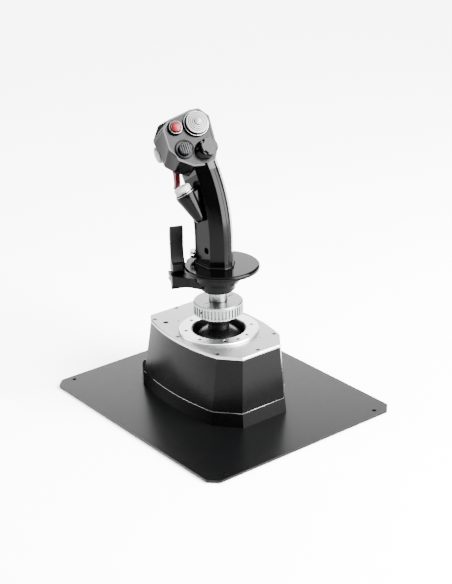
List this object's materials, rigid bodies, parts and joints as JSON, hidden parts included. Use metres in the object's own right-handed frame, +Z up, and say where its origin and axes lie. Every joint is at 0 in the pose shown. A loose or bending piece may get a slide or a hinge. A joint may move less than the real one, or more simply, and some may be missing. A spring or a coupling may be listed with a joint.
{
  "type": "flight joystick",
  "caption": "Desktop flight joystick: sprung two-axis gimbal base on a wide plate, with a leaning pistol grip, hand rest, thumb hats, buttons, trigger and paddle lever.",
  "frame": {"origin": "on the stick's axis, on the surface that the rubber pads stand on", "axes": "+Z up along the stick's axis, +X to the user's right, +Y away from the user"},
  "size_m": [0.29, 0.34, 0.3742],
  "materials": {
    "powder_black": "satin black powder coat",
    "casing_black": "satin charcoal-black paint",
    "satin_aluminium": "fine-grained satin anodised",
    "turned_aluminium": "turned and brushed",
    "dark_anodised": "black anodised",
    "black_gloss": "semi-gloss moulded",
    "black_matte": "fine matte texture",
    "grey_matte": "smooth matte",
    "white_matte": "smooth matte",
    "red_gloss": "glossy",
    "steel": "ground",
    "bright_chrome": "polished",
    "pad_rubber": "matte",
    "board_green": "solder mask"
  },
  "bodies": {
    "base": {"desktop_plate": "powder_black", "rubber_pads": "pad_rubber", "plate_screws": "steel", "base_tray": "casing_black", "base_shell": "casing_black", "top_plate": "satin_aluminium", "top_plate_screws": "steel", "gimbal_ring": "turned_aluminium", "gimbal_ring_screws": "steel", "bowl_collar": "dark_anodised", "port_housing": "black_matte", "usb_socket": "black_matte", "main_board": "board_green", "gimbal_frame": "satin_aluminium", "roll_bearings": "steel", "roll_sensor": "black_matte", "centring_spring": "steel"},
    "roll_yoke": {"outer_yoke": "satin_aluminium", "roll_axles": "steel", "pitch_bearings": "steel"},
    "stick": {"inner_yoke": "satin_aluminium", "pitch_axles": "steel", "stick_post": "satin_aluminium", "shaft_boot": "black_matte", "gimbal_cap": "satin_aluminium", "grip_neck": "satin_aluminium", "grip_connector": "black_matte", "grip_bell": "black_gloss", "hand_rest": "black_gloss", "grip_left_shell": "black_gloss", "grip_right_shell": "black_gloss", "head_rear_cover": "black_gloss", "head_front_cover": "black_gloss", "face_plate": "black_matte", "switch_housings": "black_matte", "trim_bezel": "bright_chrome", "weapon_collar": "bright_chrome", "select_bezel": "grey_matte", "castle_collar": "black_matte", "side_pod": "black_gloss", "pod_collar": "black_matte", "lever_bracket": "black_matte", "pivot_pins": "steel", "grip_screws": "bright_chrome", "grip_board": "board_green"},
    "locking_ring": {"locking_ring": "satin_aluminium", "locking_ring_screws": "steel"},
    "trim_pivot": {"trim_pivot": "steel"},
    "trim_cap": {"trim_cap": "white_matte"},
    "select_pivot": {"select_pivot": "steel"},
    "select_sleeve": {"select_sleeve": "steel"},
    "select_cap": {"select_cap": "grey_matte"},
    "castle_pivot": {"castle_pivot": "steel"},
    "castle_sleeve": {"castle_sleeve": "steel"},
    "castle_cap": {"castle_cap": "grey_matte"},
    "weapon_button": {"weapon_button": "red_gloss"},
    "event_button": {"event_button": "white_matte"},
    "pod_button": {"pod_button": "white_matte"},
    "trigger": {"trigger": "red_gloss"},
    "paddle": {"paddle_lever": "black_matte"}
  },
  "joints": [
    {"name": "stick_roll", "type": "hinge", "parent": "base", "child": "roll_yoke", "pos_m": [0, 0, 0.0635], "axis": [0, 1, 0], "range_deg": [-16.5, 16.5], "stiffness_Nm_per_rad": 6, "deforming": ["centring_spring"]},
    {"name": "stick_pitch", "type": "hinge", "parent": "roll_yoke", "child": "stick", "pos_m": [0, 0, 0.0635], "axis": [1, 0, 0], "range_deg": [-16.5, 16.5], "stiffness_Nm_per_rad": 6, "deforming": ["centring_spring"]},
    {"name": "locking_ring_turn", "type": "hinge", "parent": "stick", "child": "locking_ring", "pos_m": [0, 0, 0.13], "axis": [0, 0, 1], "continuous": true},
    {"name": "trim_tilt_up", "type": "hinge", "parent": "stick", "child": "trim_pivot", "pos_m": [0.00126, 0.04259, 0.35342], "axis": [0.9626, -0.2577, 0.0834], "range_deg": [-7, 7], "stiffness_Nm_per_rad": 0.25},
    {"name": "trim_tilt_side", "type": "hinge", "parent": "trim_pivot", "child": "trim_cap", "pos_m": [0.00126, 0.04259, 0.35342], "axis": [0.0724, 0.5417, 0.8375], "range_deg": [-7, 7], "stiffness_Nm_per_rad": 0.25},
    {"name": "select_tilt_up", "type": "hinge", "parent": "stick", "child": "select_pivot", "pos_m": [-0.02287, 0.03362, 0.32847], "axis": [0.9626, -0.2577, 0.0834], "range_deg": [-5, 5], "stiffness_Nm_per_rad": 0.25},
    {"name": "select_tilt_side", "type": "hinge", "parent": "select_pivot", "child": "select_sleeve", "pos_m": [-0.02287, 0.03362, 0.32847], "axis": [0.0724, 0.5417, 0.8375], "range_deg": [-5, 5], "stiffness_Nm_per_rad": 0.25},
    {"name": "select_push", "type": "slide", "parent": "select_sleeve", "child": "select_cap", "axis": [0.261, 0.8001, -0.5401], "range_m": [0, 0.0008], "stiffness_N_per_m": 900},
    {"name": "castle_tilt_up", "type": "hinge", "parent": "stick", "child": "castle_pivot", "pos_m": [-0.00196, 0.02449, 0.3254], "axis": [0.9958, -0.0858, -0.0307], "range_deg": [-6, 6], "stiffness_Nm_per_rad": 0.25},
    {"name": "castle_tilt_side", "type": "hinge", "parent": "castle_pivot", "child": "castle_sleeve", "pos_m": [-0.00196, 0.02449, 0.3254], "axis": [0.0724, 0.5417, 0.8375], "range_deg": [-6, 6], "stiffness_Nm_per_rad": 0.25},
    {"name": "castle_push", "type": "slide", "parent": "castle_sleeve", "child": "castle_cap", "axis": [0.0552, 0.8362, -0.5456], "range_m": [0, 0.0008], "stiffness_N_per_m": 900},
    {"name": "weapon_push", "type": "slide", "parent": "stick", "child": "weapon_button", "axis": [0.261, 0.8001, -0.5401], "range_m": [0, 0.0025], "stiffness_N_per_m": 800},
    {"name": "event_push", "type": "slide", "parent": "stick", "child": "event_button", "axis": [0.7261, -0.6043, 0.328], "range_m": [0, 0.0015], "stiffness_N_per_m": 900},
    {"name": "pod_push", "type": "slide", "parent": "stick", "child": "pod_button", "axis": [0.3001, -0.4202, -0.8564], "range_m": [0, 0.002], "stiffness_N_per_m": 800},
    {"name": "trigger_pull", "type": "hinge", "parent": "stick", "child": "trigger", "pos_m": [-0.015, 0.057, 0.3035], "axis": [-1, 0, 0], "range_deg": [0, 10], "stiffness_Nm_per_rad": 1, "springref_deg": -2.86},
    {"name": "lever_pull", "type": "hinge", "parent": "stick", "child": "paddle", "pos_m": [-0.03, 0.043, 0.1665], "axis": [0.9397, -0.342, 0], "range_deg": [0, 6], "stiffness_Nm_per_rad": 3, "springref_deg": -2.86}
  ]
}
